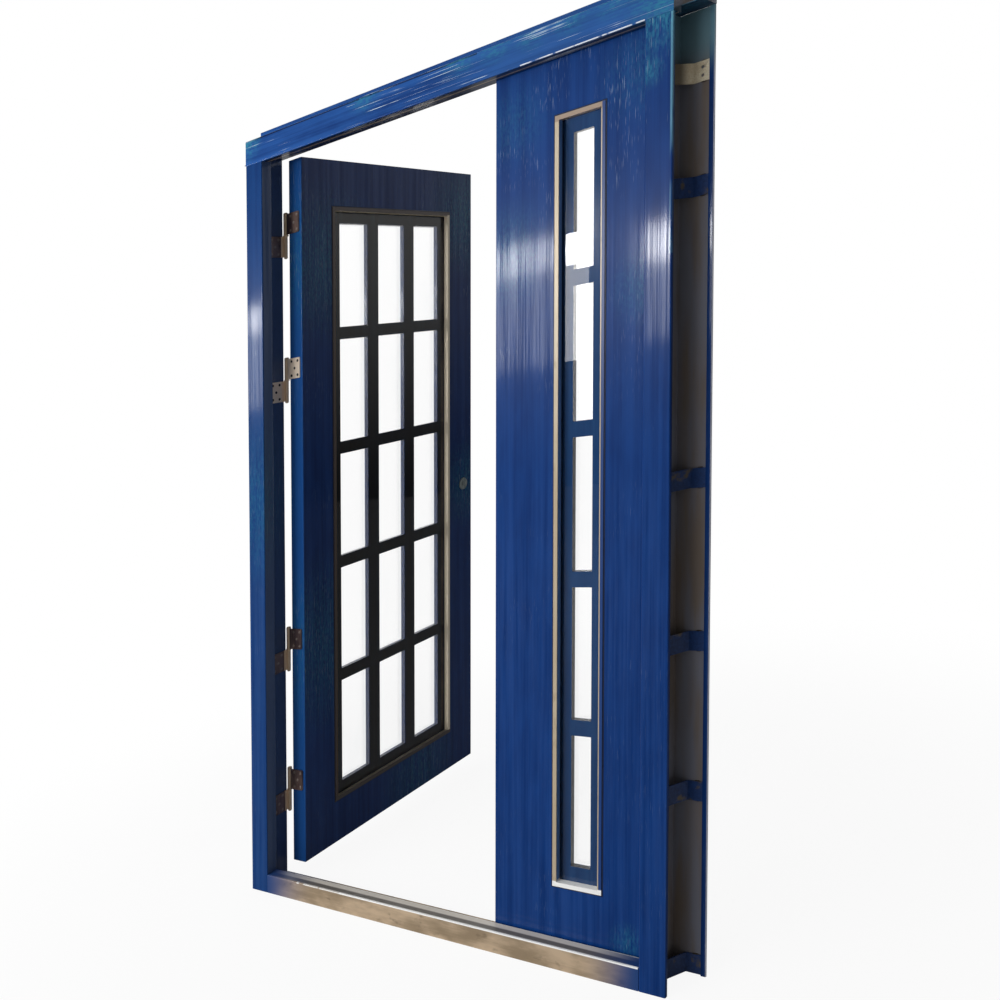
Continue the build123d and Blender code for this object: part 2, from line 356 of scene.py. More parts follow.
@dataclass(frozen=True)
class Lacquer:
    """Glossy rolled lacquer with lengthwise streaks, flecks, rubbed patches and zones of another tone.

    Flecks are pale dashes, fine and long as dash says, which grow denser from the height fleck_from upwards.
    The gloss varies with the streaks over an even coat. Zones lie under the rubs, worn ones over them;
    some worn ones are painted highlights.
    """

    name: str
    tone: Colour
    deep: Colour
    run: Run
    fleck: float = 0.4
    fleck_from: float = 1.2
    scuffs: Tuple[Scuff, ...] = ()
    cavity: Optional[FoldedCavity] = None
    zones: Tuple[Zone, ...] = ()
    # worn marks, and painted highlights, laid over the rubs
    worn: Tuple[Zone, ...] = ()
    dash: Span = (900.0, 24.0)
    gloss: float = 0.5
    even: float = 0.04
    teal: Colour = srgb(44, 126, 152)
    pale: Colour = srgb(196, 214, 226)
    raw: Colour = srgb(128, 130, 142)
    raw_warm: Colour = srgb(128, 116, 106)

    def build(self) -> bpy.types.Material:
        """Make the material.

        Returns:
            The material.
        """
        graph = new_graph(self.name)
        z = graph.axes()[2]
        streak = graph.noise(self.run.stretch(55.0, 1.1), 4.0)
        fine = graph.noise(self.run.stretch(260.0, 3.5), 2.0, (3.1, 0.7, 1.9))
        cloud = graph.noise(2.2, 2.0, (5.0, 2.0, 0.0))
        mottle = graph.noise(self.run.stretch(34.0, 11.0), 4.0, (8.0, 5.0, 1.0))
        body = (streak * 0.45 + fine * 0.2 + cloud * 0.15 + mottle * 0.2).ramp(0.35, 0.65)
        colour = painted(graph, graph.blend(body, self.deep, self.tone), self.zones)
        rubbed = self.rubbed(graph)
        speckle = graph.noise(self.run.stretch(210.0, 90.0), 4.0, (6.0, 1.0, 4.0)).ramp(0.42, 0.6)
        colour = graph.blend(rubbed * (fine.ramp(0.35, 0.6) * 0.4 + speckle * 0.6), colour, self.teal)
        dash = graph.noise(self.run.stretch(*self.dash), 1.0, (9.0, 4.0, 2.0)).ramp(0.64, 0.74)
        patch = graph.noise(7.0, 3.0, (1.0, 8.0, 3.0)).ramp(0.48, 0.66)
        high = z.ramp(self.fleck_from, 2.05) * 0.85 + 0.15
        flecks = dash * ((patch * high * self.fleck) | (rubbed * 0.8))
        colour = graph.blend(flecks, colour, self.pale)
        rough = 0.3 + flecks * 0.25 + rubbed * 0.1
        shine = (streak * 0.45 + fine * 0.55).ramp(0.38, 0.62) * self.gloss + self.even
        if self.cavity is not None:
            inside = self.cavity.mask(graph)
            stain = graph.noise((24.0, 24.0, 3.0), 4.0, (2.0, 2.0, 7.0)).ramp(0.35, 0.7)
            scale = graph.blend(stain, self.raw, self.raw_warm)
            scale = graph.blend(rubbed * 0.55, scale, self.teal)
            colour = graph.blend(inside * (1.0 - flecks), colour, scale)
            rough = rough + inside * 0.2
            shine = shine * (1.0 - inside)
        graph.surface(
            {
                "Base Color": painted(graph, colour, self.worn),
                "Roughness": rough,
                "Specular IOR Level": 0.08,
                "Coat Weight": shine,
                "Coat Roughness": 0.09,
                "Normal": graph.bump(streak * 0.6 + fine * 0.4, 0.12, 0.0012),
            }
        )
        return graph.owner

    def rubbed(self, graph: Graph) -> Number:
        """The rubbed patches as one mask, a plain zero where there are none."""
        masks = [graph.near(scuff.spot, scuff.reach) * scuff.strength for scuff in self.scuffs]
        return reduce(Value.__or__, masks) if masks else 0.0


@dataclass(frozen=True)
class BareSteel:
    """Bare rolled steel with clouding, fine drawn lines and smudges, and zones of another tone."""

    name: str
    bright: Colour
    dull: Colour
    smudge: Colour
    run: Run
    zones: Tuple[Zone, ...] = ()
    metal: float = 0.75
    rough: float = 0.34
    grain: float = 0.5
    blots: float = 0.7

    def build(self) -> bpy.types.Material:
        """Make the material.

        Returns:
            The material.
        """
        graph = new_graph(self.name)
        drawn = graph.noise(self.run.stretch(420.0, 6.0), 2.0)
        cloud = graph.noise(self.run.stretch(26.0, 9.0), 4.0, (4.0, 1.0, 6.0))
        blot = graph.noise(self.run.stretch(40.0, 22.0), 4.0, (7.0, 3.0, 1.0)).ramp(0.58, 0.74)
        body = (drawn * self.grain + cloud * (1.0 - self.grain)).ramp(0.35, 0.65)
        colour = graph.blend(body, self.dull, self.bright)
        colour = graph.blend(blot * self.blots, colour, self.smudge)
        covered = reduce(Value.__or__, [zone.mask(graph) for zone in self.zones]) if self.zones else 0.0
        graph.surface(
            {
                "Base Color": painted(graph, colour, self.zones),
                "Metallic": (1.0 - covered) * self.metal,
                "Roughness": self.rough + cloud * 0.12 + blot * 0.15,
                "Normal": graph.bump(drawn, 0.08, 0.0006),
            }
        )
        return graph.owner


@dataclass(frozen=True)
class StrapCoat:
    """A thin dark coat, worn through in patches to what lies under it."""

    name: str
    coat: Colour
    worn: Colour
    share: float
    grime: Colour = srgb(20, 38, 78)
    soft: float = 0.06

    def build(self) -> bpy.types.Material:
        """Make the material.

        Returns:
            The material.
        """
        graph = new_graph(self.name)
        patch = graph.noise(30.0, 4.0, (2.0, 5.0, 1.0))
        worn = patch.ramp(1.0 - self.share - self.soft, 1.0 - self.share + self.soft)
        grain = graph.noise(180.0, 2.0)
        colour = graph.blend(worn, graph.blend(grain, self.coat, self.grime), self.worn)
        graph.surface(
            {
                "Base Color": colour,
                "Metallic": worn * 0.6,
                "Roughness": 0.32 + grain * 0.15 + worn * 0.1,
                "Normal": graph.bump(patch, 0.1, 0.001),
            }
        )
        return graph.owner


@dataclass(frozen=True)
class ClearGlass:
    """Float glass with a faint film of dust."""

    name: str
    tint: Colour = WHITE
    dust: Colour = srgb(246, 248, 248)

    def build(self) -> bpy.types.Material:
        """Make the material.

        Returns:
            The material.
        """
        graph = new_graph(self.name)
        film = graph.noise((14.0, 14.0, 5.0), 3.0).ramp(0.5, 0.8)
        graph.surface(
            {
                "Base Color": graph.blend(film * 0.2, self.tint, self.dust),
                "Roughness": 0.0,
                "IOR": 1.5,
                "Transmission Weight": 1.0,
            }
        )
        return graph.owner


def grid_object(
    name: str, sheets: np.ndarray, wrap: bool, material: bpy.types.Material
) -> bpy.types.Object:
    """A mesh from one or more grids of points, with its poles merged.

    Args:
        name: The piece's name.
        sheets: Points as sheets by rows by columns by three.
        wrap: True where the last column joins the first.
        material: Its finish.

    Returns:
        The new object, at the origin.
    """
    count, rows, columns = sheets.shape[:3]
    index = np.arange(count * rows * columns).reshape(count, rows, columns)
    right = np.roll(index, -1, axis=2) if wrap else index[:, :, 1:]
    left = index if wrap else index[:, :, :-1]
    quads = np.stack([left[:, :-1], right[:, :-1], right[:, 1:], left[:, 1:]], axis=-1).reshape(-1, 4)
    mesh = bpy.data.meshes.new(name)
    mesh.from_pydata(sheets.reshape(-1, 3).tolist(), [], quads.tolist())
    closed = bmesh.new()
    closed.from_mesh(mesh)
    bmesh.ops.remove_doubles(closed, verts=closed.verts, dist=SAME_POINT)
    closed.to_mesh(mesh)
    closed.free()
    mesh.polygons.foreach_set("use_smooth", np.ones(len(mesh.polygons), bool))
    mesh.materials.append(material)
    made = bpy.data.objects.new(name, mesh)
    bpy.context.scene.collection.objects.link(made)
    return made


def sunk_screws(spots: np.ndarray, outward: Point, radius: float) -> np.ndarray:
    """Heads of cross-slotted screws, seen from outside.

    A head is a disc in rings and spokes. Its height is a low dome that falls with the square of the radius,
    less a slot where a point lies close to either of two crossed lines through the middle, less a sunk rim.

    Args:
        spots: Middles of the heads, one row each.
        outward: The direction that they face, along one axis.
        radius: Radius of a head.

    Returns:
        Grids of points, heads by rings by spokes.
    """
    ring = np.array([1.0, 0.97, 0.72, 0.5, 0.3, 0.12, 0.0])[:, None]
    turn = np.linspace(0.0, 2.0 * math.pi, 16, endpoint=False)[None, :]
    across, along = ring * np.cos(turn), ring * np.sin(turn)
    slot_half, slot_reach, dome, slot_depth, rim_depth = 0.13, 0.6, 0.22, 0.25, 0.3
    slot = (np.minimum(abs(across), abs(along)) < slot_half) & (ring < slot_reach)
    rise = dome * (1.0 - ring**2) - slot_depth * slot - rim_depth * (ring > 0.99)
    out, up = np.array(outward, float), np.array([0.0, 0.0, 1.0])
    side = np.cross(up, out)
    local = across[..., None] * side + along[..., None] * up + rise[..., None] * out
    return spots[:, None, None, :] + radius * local[None]


def weld_runs(spots: np.ndarray, half: np.ndarray) -> np.ndarray:
    """Short weld runs: half-buried ellipsoids whose girth is rippled by a cosine from pole to pole.

    Args:
        spots: Middles of the runs, one row each.
        half: Half sizes along the three axes, one row each.

    Returns:
        Grids of points, runs by parallels by meridians.
    """
    lift = np.linspace(-0.5 * math.pi, 0.5 * math.pi, 9)[:, None]
    turn = np.linspace(0.0, 2.0 * math.pi, 14, endpoint=False)[None, :]
    ripples, ripple_height = 9.0, 0.1
    girth = (1.0 + ripple_height * np.cos(ripples * lift)) * np.cos(lift)
    ball = np.stack([girth * np.cos(turn), girth * np.sin(turn), np.sin(lift) + 0.0 * turn], axis=-1)
    return spots[:, None, None, :] + half[:, None, None, :] * ball[None]


def seam_round(low: np.ndarray, high: np.ndarray, width: float, proud: float, out: float) -> np.ndarray:
    """A half-round seam carried round a rectangle in the plane of its second and third axes.

    The profile is half a circle, squashed to its height. It is carried along the rectangle's four sides, and
    at a corner its offset goes both ways, so the corners are mitred.

    Args:
        low: Lowest corner of the rectangle, as face, across and up.
        high: Highest corner, with the same face.
        width: Width of the seam.
        proud: Its height over the face.
        out: Which way the face looks, 1 or -1.

    Returns:
        One grid of points, profile by corners, as face, across and up.
    """
    bend = np.linspace(0.0, math.pi, 7)[:, None]
    across = np.array([low[1], high[1], high[1], low[1]])[None, :]
    up = np.array([low[2], low[2], high[2], high[2]])[None, :]
    away = np.array([-1.0, 1.0, 1.0, -1.0])[None, :]
    rise = np.array([-1.0, -1.0, 1.0, 1.0])[None, :]
    offset = 0.5 * width * (1.0 - np.cos(bend))
    face = low[0] + out * proud * np.sin(bend) + 0.0 * across
    return np.stack([face, across + away * offset, up + rise * offset], axis=-1)[None]


@dataclass
class HingeRow:
    """Sizes of the four flag hinges of one leaf, in metres, as they stand on the closed right-hand leaf."""

    heights: Tuple[float, ...] = (0.248, 0.656, 1.428, 1.836)
    near: float = 0.007
    far: float = 0.031
    inset: float = 0.009
    plate: float = 0.058
    washer: float = 0.0015
    clearance: float = 0.0003
    face: float = 0.602
    sink: float = 0.0007
    head: float = 0.0042

    def holes(self, on_leaf: bool) -> np.ndarray:
        """Middles of the screw heads as depth and height, one row each.

        Args:
            on_leaf: True for the upper halves on the leaf, False for the lower ones on the jamb.

        Returns:
            The rows.
        """
        base = self.washer + self.clearance if on_leaf else -self.washer - self.plate
        low, high = base + self.inset, base + self.plate - self.inset
        middle = ((self.near + self.far) / 2, (low + high) / 2)
        plate = np.array([(self.near, low), (self.near, high), (self.far, low), (self.far, high), middle])
        rows = np.repeat(plate[None], len(self.heights), axis=0)
        rows[:, :, 1] += np.array(self.heights)[:, None]
        return rows.reshape(-1, 2)


@dataclass
class DoorFrame:
    """The folded jambs and head, the sill, the anchor straps and the jambs' hinge halves."""

    nodes: Dict[str, bpy.types.Object]
    finishes: Dict[str, bpy.types.Material]
    hinges: HingeRow
    strap_heights: Tuple[float, ...] = (0.023, 0.401, 0.725, 1.073, 1.685, 1.920)
    strap_half: float = 0.021
    strap_heel: Tuple[float, float] = (0.662, 0.0478)
    weld_half: Point = (0.007, 0.0022, 0.0022)
    lowest_weld: float = 0.004
    members: Tuple[str, ...] = ("left_jamb", "right_jamb", "head", "sill")
    body: str = "frame"

    def dress(self) -> None:
        """Give every CAD piece of the frame its finish."""
        for name, made in self.nodes.items():
            if name in self.members:
                put_on(made, self.finishes[name])
            elif "strap" in name:
                put_on(made, self.finishes["bare_strap" if name.endswith("_6") else "strap"])
            elif "jamb_hinge" in name:
                put_on(made, self.finishes["hinge"])

    def build_screws(self) -> bpy.types.Object:
        """Make the screws in the hinge plates on both jambs.

        Returns:
            The screws, as one piece.
        """
        holes = self.hinges.holes(on_leaf=False)
        face = np.full((len(holes), 1), self.hinges.face)
        right = np.hstack([face + self.hinges.sink, holes])
        left = right * np.array([-1.0, 1.0, 1.0])
        grids = np.concatenate(
            [
                sunk_screws(right, (-1.0, 0.0, 0.0), self.hinges.head),
                sunk_screws(left, (1.0, 0.0, 0.0), self.hinges.head),
            ]
        )
        made = grid_object("jamb_screws", grids, True, self.finishes["screw"])
        return attach(made, self.body)

    def build_welds(self) -> bpy.types.Object:
        """Make the short weld runs that hold each strap to its jamb, above and below it.

        Returns:
            The welds, as one piece.
        """
        heights = np.array(self.strap_heights)
        tops = np.concatenate([heights + self.strap_half, heights - self.strap_half])
        x, y = self.strap_heel
        spots = np.stack([np.full_like(tops, x), np.full_like(tops, y), tops], axis=1)
        both = np.concatenate([spots, spots * np.array([-1.0, 1.0, 1.0])])
        both = both[both[:, 2] > self.lowest_weld]
        half = np.tile(np.array(self.weld_half), (len(both), 1))
        made = grid_object("strap_welds", weld_runs(both, half), True, self.finishes["weld"])
        return attach(made, self.body)


@dataclass
class Leaf:
    """One glazed leaf with its beads, glass, grille and hinge halves."""

    name: str
    nodes: Dict[str, bpy.types.Object]
    finishes: Dict[str, bpy.types.Material]
    hinges: HingeRow
    opened: bool
    pivot: Tuple[float, float] = (0.598, 0.054)
    seam_width: float = 0.0036
    seam_proud: float = 0.0008

    @property
    def body(self) -> str:
        """The CAD body that this leaf's pieces ride on."""
        return f"{self.name}_leaf"

    def finish_of(self, name: str) -> Optional[str]:
        """Choose the finish of a CAD piece.

        Args:
            name: The piece's node.

        Returns:
            The finish's name, None for a piece that isn't on this leaf.
        """
        if name == "lock_cylinder":
            return "lock" if self.name == "main" else None
        if not name.startswith(self.name):
            return None
        if "hinge" in name or "glass" in name:
            return "hinge" if "hinge" in name else "glass"
        kind = next((kind for kind in ("bead", "grille") if kind in name), "leaf")
        return f"{self.name}_{kind}"

    def dress(self) -> None:
        """Give every CAD piece of the leaf its finish, and let light through the glass."""
        for name, made in self.nodes.items():
            finish = self.finish_of(name)
            if finish is not None:
                put_on(made, self.finishes[finish])
            if finish == "glass":
                made.visible_shadow = False

    def swung(self, points: np.ndarray) -> np.ndarray:
        """Points of the closed right-hand leaf, brought to where this leaf stands.

        The main leaf is its mirror image, turned a quarter about its hinge pins.

        Args:
            points: Rows of x, y and z.

        Returns:
            The moved rows.
        """
        if not self.opened:
            return points
        px, py = self.pivot
        x, y = -points[:, 0] + px, points[:, 1] - py
        return np.stack([-px - y, py + x, points[:, 2]], axis=1)

    def build_screws(self) -> bpy.types.Object:
        """Make the screws in the hinge plates on this leaf's edge.

        Returns:
            The screws, as one piece.
        """
        holes = self.hinges.holes(on_leaf=True)
        face = np.full((len(holes), 1), self.hinges.face - self.hinges.sink)
        spots = self.swung(np.hstack([face, holes]))
        outward = (0.0, -1.0, 0.0) if self.opened else (1.0, 0.0, 0.0)
        grids = sunk_screws(spots, outward, self.hinges.head)
        made = grid_object(f"{self.name}_leaf_screws", grids, True, self.finishes["screw"])
        return attach(made, self.body)

    def build_seams(self) -> List[bpy.types.Object]:
        """Run dark sealant round the outside of both glazing beads.

        Returns:
            The front and the rear seam.
        """
        made = []
        order = [0, 1, 2] if self.opened else [1, 0, 2]  # face, across and up; its own inverse
        slab_low, slab_high = (np.array(corner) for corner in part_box(f"{self.name}_leaf"))
        for side in ("front", "rear"):
            low, high = (np.array(corner)[order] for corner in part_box(f"{self.name}_{side}_bead"))
            upper = (side == "front") == self.opened
            low[0] = high[0] = (slab_high if upper else slab_low)[order[0]]
            out = 1.0 if upper else -1.0
            grid = seam_round(low, high, self.seam_width, self.seam_proud, out)[..., order]
            if side == "front":  # the rear seam's mirror image, so its rows turn round to face outwards
                grid = grid[:, ::-1]
            piece = grid_object(f"{self.name}_{side}_sealant", grid, True, self.finishes["sealant"])
            made.append(attach(piece, self.body))
        return made


def put_on(made: bpy.types.Object, finish: bpy.types.Material) -> None:
    """Set a CAD piece's only material."""
    made.data.materials.clear()
    made.data.materials.append(finish)


def attach(made: bpy.types.Object, body: str) -> bpy.types.Object:
    """Ride a new piece on a body.

    Args:
        made: The piece.
        body: The CAD body that carries it.

    Returns:
        The same piece.
    """
    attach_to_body(made, body)
    LOG.info("piece %s rides on %s", made.name, body)
    return made


@dataclass(frozen=True)
class WindowBand:
    """A long soft light before the doors, to the left, like a band of windows."""

    name: str
    bottom: float
    top: float
    power: float
    start: float = -5.2
    end: float = -1.8
    distance: float = 3.7
    mirrored: bool = True

    def build(self) -> None:
        """Make the light, facing the doorway's plane, and hide it from reflections if asked."""
        lamp = bpy.data.lights.new(self.name, "AREA")
        lamp.shape = "RECTANGLE"
        lamp.size, lamp.size_y = self.end - self.start, self.top - self.bottom
        lamp.energy = self.power
        made = bpy.data.objects.new(self.name, lamp)
        bpy.context.scene.collection.objects.link(made)
        made.visible_glossy = self.mirrored
        made.location = ((self.start + self.end) / 2, -self.distance, (self.bottom + self.top) / 2)
        made.rotation_euler = Vector((0.0, 1.0, 0.0)).to_track_quat("-Z", "Y").to_euler()


@dataclass
class Studio:
    """Floor, light and camera round the doors."""

    floor_size: float = 14.0
    floor_drop: float = 0.0005
    floor_middle: Point = (0.0, 0.3, 0.0)
    floor_fade: Span = (0.9, 2.4)
    floor_white: float = 0.92
    floor_grey: Colour = (0.86, 0.86, 0.86, 1.0)
    floor_bounce: Colour = (0.56, 0.56, 0.56, 1.0)
    floor_mirrored: float = 0.75
    floor_glow: float = 0.16
    bands: Tuple[WindowBand, ...] = (
        WindowBand("bright_windows", 1.97, 2.18, 54.0),
        WindowBand("dim_windows", 1.34, 1.97, 38.0),
        WindowBand("bright_side_window", 1.88, 2.1, 18.0, -1.36, -0.85),
        WindowBand("dim_side_window", 1.4, 1.88, 5.0, -1.36, -0.85),
        WindowBand("front_fill", 0.7, 3.7, 100.0, -4.5, 0.5, 5.0, False),
    )
    ambient: float = 0.66
    shaded_side: Span = (0.4, -0.2)
    shaded_level: float = 0.15
    behind: float = 0.25
    sweep_span: Span = (0.55, 0.8)
    sweep_level: float = 0.95
    aside_span: Span = (0.75, 0.95)
    aside_rise: Span = (-0.14, 0.24)
    aside_level: float = 0.74
    room_level: float = 0.06
    eye: Point = (1.54697, -1.8860, 1.37118)
    right: Point = (0.80978, 0.58673, 0.00137)
    down: Point = (0.02519, -0.03244, -0.99916)
    forward: Point = (-0.58619, 0.80913, -0.04104)
    lean: float = 0.15904
    lens: float = 35.753
    shift: float = -0.0920

    def build(self) -> None:
        """Make the floor, the light and the camera."""
        self.floor()
        self.world()
        for band in self.bands:
            band.build()
        self.camera()

    def floor(self) -> None:
        """A plain pale floor that goes over into the white background and throws back less light."""
        half = self.floor_size / 2
        line = np.linspace(-half, half, 3)
        x, y = np.meshgrid(line, line, indexing="ij")
        sheet = np.stack([y, x, np.full_like(x, -self.floor_drop)], axis=-1)[None]
        graph = new_graph("pale_floor")
        far = graph.distance(self.floor_middle).ramp(*self.floor_fade)
        plain = far * (1.0 - self.floor_white) + self.floor_white
        camera = graph.node("ShaderNodeLightPath", output="Is Camera Ray")
        seen = camera | camera.other("Is Transmission Ray")
        lit = graph.blend(camera.other("Is Diffuse Ray"), self.floor_grey, self.floor_bounce)
        matt = graph.node("ShaderNodeBsdfDiffuse", inputs={"Color": lit})
        white = graph.node("ShaderNodeEmission", inputs={"Color": WHITE, "Strength": 1.0})
        pale = graph.node("ShaderNodeMixShader", inputs={0: seen * plain, 1: matt, 2: white})
        dim = graph.node("ShaderNodeEmission", inputs={"Color": WHITE, "Strength": self.floor_glow})
        mirrored = camera.other("Is Glossy Ray") * (1.0 - seen) * self.floor_mirrored
        graph.close(graph.node("ShaderNodeMixShader", inputs={0: mirrored, 1: pale, 2: dim}))
        grid_object("floor", sheet, False, graph.owner)

    def world(self) -> None:
        """White background, with softer light on the doors, a shaded right side and a dim room before them.

        What gloss mirrors is bright straight behind the doors and off to their right, and dim elsewhere.
        """
        world = bpy.data.worlds.new("studio")
        bpy.context.scene.world = world
        graph = Graph(world)
        towards = graph.node("ShaderNodeTexCoord", output="Generated")
        x = graph.node("ShaderNodeSeparateXYZ", inputs={0: towards}, output="X")
        y, z = x.other("Y"), x.other("Z")
        rightwards = (y * self.forward[1] - x * self.forward[0]).ramp(*self.aside_span)
        aside = rightwards * z.ramp(*self.aside_rise)
        sweep = (x * self.forward[0] + y * self.forward[1]).ramp(*self.sweep_span)
        camera = graph.node("ShaderNodeLightPath", output="Is Camera Ray")
        clear = camera | camera.other("Is Transmission Ray")
        glossy = camera.other("Is Glossy Ray")
        side = x.ramp(*self.shaded_side) * (1.0 - self.shaded_level) + self.shaded_level
        room = self.ambient * side * (1.0 - y * self.behind)
        mirrored = sweep * self.sweep_level + aside * self.aside_level + self.room_level
        level = clear | (glossy * mirrored) | ((1.0 - (clear | glossy)) * room)
        graph.close(graph.node("ShaderNodeBackground", inputs={"Color": WHITE, "Strength": level}))

    def camera(self) -> None:
        """The photograph's camera. The picture was sheared, so its side axis leans down by that much."""
        lens = bpy.data.cameras.new("camera")
        lens.sensor_width = 36.0
        lens.lens = self.lens
        lens.shift_y = self.shift
        lens.clip_start, lens.clip_end = 0.05, 100.0
        made = bpy.data.objects.new("camera", lens)
        holder = bpy.data.objects.new("camera_holder", None)
        for thing in (made, holder):
            bpy.context.scene.collection.objects.link(thing)
        up = -Vector(self.down)
        side = (Vector(self.right) - self.lean * up).normalized()
        back = -Vector(self.forward)
        axes = Matrix((side, up, back)).transposed().to_4x4()
        made.parent = holder
        made.matrix_parent_inverse = Matrix.Translation(self.eye) @ axes
        bpy.context.scene.camera = made
        bpy.context.scene.view_settings.view_transform = "Standard"


@dataclass
class Palette:
    """All finishes of the doors, by piece."""

    blue: Colour = srgb(18, 62, 128)
    deep_blue: Colour = srgb(10, 46, 104)
    white: Colour = srgb(250, 250, 248)
    front_face: Span = (-0.06, -0.047)

    def frame_lacquers(self) -> Dict[str, Lacquer]:
        """Describe the lacquer of the jambs and the head, with their bare insides.

        Returns:
            The lacquers by piece.
        """
        inside = FoldedCavity((0.5787, 0.6393), (0.6063, 0.6745), Run.CROSSWISE)
        over = FoldedCavity((2.0337, 2.0993), (2.0493, 2.1345), Run.UPRIGHT)
        right_rubs = (
            Scuff((0.62, -0.05, 2.07), 0.15),
            Scuff((0.64, 0.03, 2.06), 0.14, 0.8),
            Scuff((0.585, -0.05, 1.93), 0.05, 0.6),
        )
        left_rubs = (Scuff((-0.64, -0.05, 2.09), 0.05), Scuff((-0.6, -0.05, 1.1), 0.3, 0.25))
        places = (-0.2, 0.1, 0.2, 0.3, 0.4, 0.5)
        top_edge = tuple(Scuff((along, -0.05, 2.118), 0.075, 0.9) for along in places)
        head_rubs = top_edge + (Scuff((0.63, -0.05, 2.09), 0.13), Scuff((-0.63, -0.05, 2.1), 0.07))
        stain = Zone(srgb(108, 148, 160), 0.09, x=(0.6, 0.7), y=(0.045, 0.06), z=(1.99, 2.2), share=0.75)
        # Painted sheen: the hem lip in pale grey-white over its blue paint.
        hem_sheen = Zone(srgb(204, 208, 220), 0.002, x=(0.6862, 0.7))
        # Painted light: the left jamb's reveal in a lighter blue, to offset the shade it lies in.
        lit_reveal = Zone(srgb(84, 104, 140), 0.003, y=(-0.046, 0.06), share=0.7)
        front = Zone(srgb(58, 108, 174), 0.35, x=(0.3, 0.7), z=(2.06, 2.2), share=0.35)
        # Painted shade: the head's underside darkened to near black.
        under = Zone(srgb(30, 30, 38), 0.003, y=(-0.046, 0.06), z=(2.0, 2.05), share=0.8)
        line = Zone(srgb(170, 150, 128), 0.002, y=(-0.03, -0.027), z=(2.0, 2.0335), share=0.9)
        # Painted shade: a dark line along the top edge of the head's face.
        crest_shade = Zone(
            srgb(14, 26, 54), 0.002, x=(-0.62, 0.15), y=self.front_face, z=(2.096, 2.102), share=0.75
        )
        # Painted highlight: a broken white line along the head's lower front edge, laid on like wear.
        edge = Zone(
            srgb(240, 244, 248), 0.0012, (0.27, 0.575), self.front_face, (2.0333, 2.0345), 0.85, broken=True
        )
        # Cyan wear mixed with a painted highlight down the right jamb's outer front edge.
        corner = Zone(
            srgb(132, 196, 214), 0.003, (0.636, 0.65), self.front_face, (1.55, 2.2), 0.4, broken=True
        )
        left = Lacquer(
            "left_jamb_lacquer", srgb(16, 62, 120), srgb(10, 48, 102), Run.UPRIGHT,
            fleck=0.5, fleck_from=0.6, scuffs=left_rubs, cavity=inside, zones=(lit_reveal,),
        )
        right = Lacquer(
            "right_jamb_lacquer", self.blue, self.deep_blue, Run.UPRIGHT,
            fleck=0.7, fleck_from=1.0, scuffs=right_rubs, cavity=inside, zones=(hem_sheen,), worn=(stain, corner),
        )
        head = Lacquer(
            "head_lacquer", srgb(34, 84, 154), srgb(10, 46, 106), Run.CROSSWISE,
            fleck=2.6, fleck_from=1.0, scuffs=head_rubs, cavity=over,
            zones=(front, crest_shade, under, line), worn=(edge,), dash=(520.0, 4.5),
        )
        return {"left_jamb": left, "right_jamb": right, "head": head}

    def leaf_lacquers(self) -> Dict[str, Lacquer]:
        """Describe the lacquer of the two leaves and their grilles.

        Returns:
            The lacquers by piece.
        """
        main_rubs = (
            Scuff((-0.534, 0.8, 1.9), 0.25, 0.7),
            Scuff((-0.534, 0.8, 1.0), 0.18, 0.55),
            Scuff((-0.534, 0.16, 1.75), 0.28, 0.55),
            Scuff((-0.534, 0.16, 0.65), 0.32, 0.45),
            Scuff((-0.534, 0.55, 0.1), 0.22, 0.4),
        )
        narrow_rubs = (
            Scuff((0.56, -0.01, 1.95), 0.14, 0.22),
            Scuff((0.57, -0.01, 1.5), 0.12, 0.3),
            Scuff((0.21, -0.01, 1.62), 0.16, 0.28),
            Scuff((0.23, -0.01, 1.92), 0.12, 0.2),
            Scuff((0.53, -0.01, 0.07), 0.06, 0.35),
        )
        # Painted light: the main leaf's hinge edge in a lighter blue, as if lit.
        fold = Zone(srgb(34, 84, 152), 0.001, y=(-0.1, 0.054))
        main = Lacquer(
            "main_leaf_lacquer", self.blue, self.deep_blue, Run.UPRIGHT,
            fleck=0.3, fleck_from=0.8, scuffs=main_rubs, zones=(fold,), gloss=0.2, even=0.2,
        )
        narrow = Lacquer(
            "narrow_leaf_lacquer", self.blue, self.deep_blue, Run.UPRIGHT,
            fleck=0.6, fleck_from=1.0, scuffs=narrow_rubs,
        )
        # Painted shade: the grille bars' sides in the pane openings darkened.
        bar_side_shade = Zone(srgb(22, 40, 76), 0.0005, x=(-0.5653, -0.5527))
        slim_side_shade = Zone(srgb(16, 18, 26), 0.0005, y=(0.0087, 0.0213))
        bars = Lacquer(
            "main_grille_lacquer", srgb(40, 78, 134), srgb(32, 64, 116), Run.UPRIGHT,
            fleck=0.1, zones=(bar_side_shade,), gloss=0.3,
        )
        # Painted light: the narrow grille is a lighter blue than the leaf, to offset the shadow under its
        # bead.
        slim = Lacquer(
            "narrow_grille_lacquer", srgb(44, 92, 150), srgb(36, 78, 134), Run.UPRIGHT,
            fleck=0.1, zones=(slim_side_shade,), gloss=0.3,
        )
        return {"main_leaf": main, "narrow_leaf": narrow, "main_grille": bars, "narrow_grille": slim}

